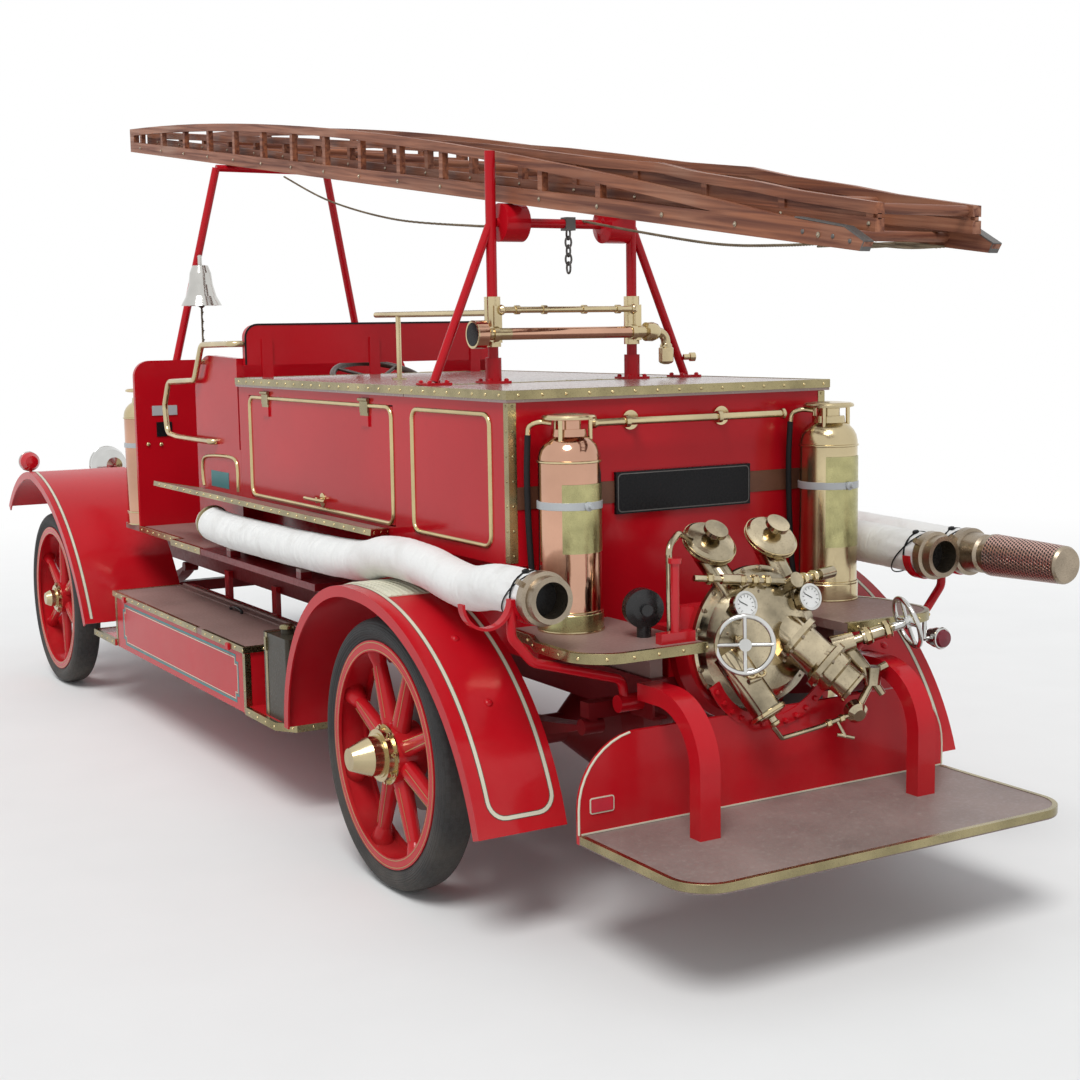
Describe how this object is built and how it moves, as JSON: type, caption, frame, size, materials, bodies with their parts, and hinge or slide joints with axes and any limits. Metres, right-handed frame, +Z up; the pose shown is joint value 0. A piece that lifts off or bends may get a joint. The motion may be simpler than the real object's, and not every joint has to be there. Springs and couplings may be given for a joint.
{
  "type": "vintage fire engine",
  "caption": "Open motor fire engine with a side-seat hose body, rear pump, suction hoses, extinguishers and a sliding ladder on gallows.",
  "frame": {"origin": "on the ground under the middle of the whole vehicle, ladder included", "axes": "+X to the left side of the vehicle, -Y to its front, +Z up"},
  "size_m": [1.848, 5.585, 2.6763],
  "materials": {
    "red_paint": "gloss",
    "black_paint": "satin",
    "cast_iron": "matt",
    "brass": "polished",
    "gunmetal": "polished",
    "copper": "polished",
    "tread": "satin",
    "leather": "satin",
    "green_paint": "satin",
    "canvas": "matt",
    "wood": "varnished",
    "plated": "polished",
    "tyre": "matt"
  },
  "bodies": {
    "chassis": {"axles": "black_paint", "backboard": "red_paint", "bell": "plated", "bonnet_sides": "red_paint", "branch_pipes": "brass", "cab_body": "red_paint", "deck": "tread", "engine": "cast_iron", "extinguishers": "copper", "floor_boards": "tread", "footboards": "tread", "frame": "red_paint", "front_wings": "red_paint", "fuel_cans": "green_paint", "gallows": "red_paint", "grab_rails": "brass", "hose_body": "red_paint", "hose_couplings": "gunmetal", "ladder_main": "wood", "lamps": "plated", "number_plate": "black_paint", "pump": "gunmetal", "radiator": "brass", "rear_brackets": "red_paint", "rear_shelves": "tread", "rear_step": "red_paint", "rear_wings": "red_paint", "seat_cushion": "leather", "springs": "black_paint", "steering_column": "brass", "step_boxes": "red_paint", "suction_hoses": "canvas"},
    "knuckle_left": {"knuckle_left": "black_paint"},
    "bonnet_left": {"bonnet_left": "red_paint"},
    "locker_door_left": {"locker_door_left": "red_paint"},
    "step_lid_left": {"step_lid_left": "tread"},
    "knuckle_right": {"knuckle_right": "black_paint"},
    "bonnet_right": {"bonnet_right": "red_paint"},
    "locker_door_right": {"locker_door_right": "red_paint"},
    "step_lid_right": {"step_lid_right": "tread"},
    "wheel_front_left": {"wheel_front_left": "red_paint", "tyre_front_left": "tyre"},
    "wheel_front_right": {"wheel_front_right": "red_paint", "tyre_front_right": "tyre"},
    "wheel_rear_left": {"wheel_rear_left": "red_paint", "tyre_rear_left": "tyre"},
    "wheel_rear_right": {"wheel_rear_right": "red_paint", "tyre_rear_right": "tyre"},
    "steering_wheel": {"steering_wheel": "wood"},
    "ladder_roller": {"ladder_roller": "red_paint"},
    "ladder_extension": {"ladder_extension": "wood"}
  },
  "joints": [
    {"name": "steering", "type": "hinge", "parent": "chassis", "child": "steering_wheel", "pos_m": [-0.3, -0.9375, 1.42], "axis": [0, 0.3499, 0.9368], "range_deg": [-300, 300]},
    {"name": "steer_left", "type": "hinge", "parent": "chassis", "child": "knuckle_left", "pos_m": [0.69, -2.1675, 0.406], "axis": [0, 0, 1], "range_deg": [-30, 30]},
    {"name": "spin_front_left", "type": "hinge", "parent": "knuckle_left", "child": "wheel_front_left", "pos_m": [0.8, -2.1675, 0.406], "axis": [1, 0, 0], "continuous": true},
    {"name": "spin_rear_left", "type": "hinge", "parent": "chassis", "child": "wheel_rear_left", "pos_m": [0.769, 1.3925, 0.406], "axis": [1, 0, 0], "continuous": true},
    {"name": "bonnet_left_hinge", "type": "hinge", "parent": "chassis", "child": "bonnet_left", "pos_m": [0, -1.9675, 1.3], "axis": [0, -1, 0], "range_deg": [0, 75]},
    {"name": "locker_left_hinge", "type": "hinge", "parent": "chassis", "child": "locker_door_left", "pos_m": [0.573, 0.3725, 1.422], "axis": [0, -1, 0], "range_deg": [0, 100]},
    {"name": "step_lid_left_hinge", "type": "hinge", "parent": "chassis", "child": "step_lid_left", "pos_m": [0.512, -0.5275, 0.552], "axis": [0, -1, 0], "range_deg": [0, 50]},
    {"name": "steer_right", "type": "hinge", "parent": "chassis", "child": "knuckle_right", "pos_m": [-0.69, -2.1675, 0.406], "axis": [0, 0, 1], "range_deg": [-30, 30]},
    {"name": "spin_front_right", "type": "hinge", "parent": "knuckle_right", "child": "wheel_front_right", "pos_m": [-0.8, -2.1675, 0.406], "axis": [1, 0, 0], "continuous": true},
    {"name": "spin_rear_right", "type": "hinge", "parent": "chassis", "child": "wheel_rear_right", "pos_m": [-0.769, 1.3925, 0.406], "axis": [1, 0, 0], "continuous": true},
    {"name": "bonnet_right_hinge", "type": "hinge", "parent": "chassis", "child": "bonnet_right", "pos_m": [0, -1.9675, 1.3], "axis": [0, 1, 0], "range_deg": [0, 75]},
    {"name": "locker_right_hinge", "type": "hinge", "parent": "chassis", "child": "locker_door_right", "pos_m": [-0.573, 0.3725, 1.422], "axis": [0, 1, 0], "range_deg": [0, 100]},
    {"name": "step_lid_right_hinge", "type": "hinge", "parent": "chassis", "child": "step_lid_right", "pos_m": [-0.512, -0.5275, 0.552], "axis": [0, 1, 0], "range_deg": [0, 50]},
    {"name": "roller_spin", "type": "hinge", "parent": "chassis", "child": "ladder_roller", "pos_m": [0, 1.1135, 1.975], "axis": [1, 0, 0], "continuous": true},
    {"name": "ladder_slide", "type": "slide", "parent": "chassis", "child": "ladder_extension", "axis": [0, -0.9906, 0.1367], "range_m": [0, 3.5]}
  ],
  "couplings": [
    {"joint": "steer_left", "follows": "steering", "ratio": 0.1},
    {"joint": "steer_right", "follows": "steering", "ratio": 0.1}
  ]
}
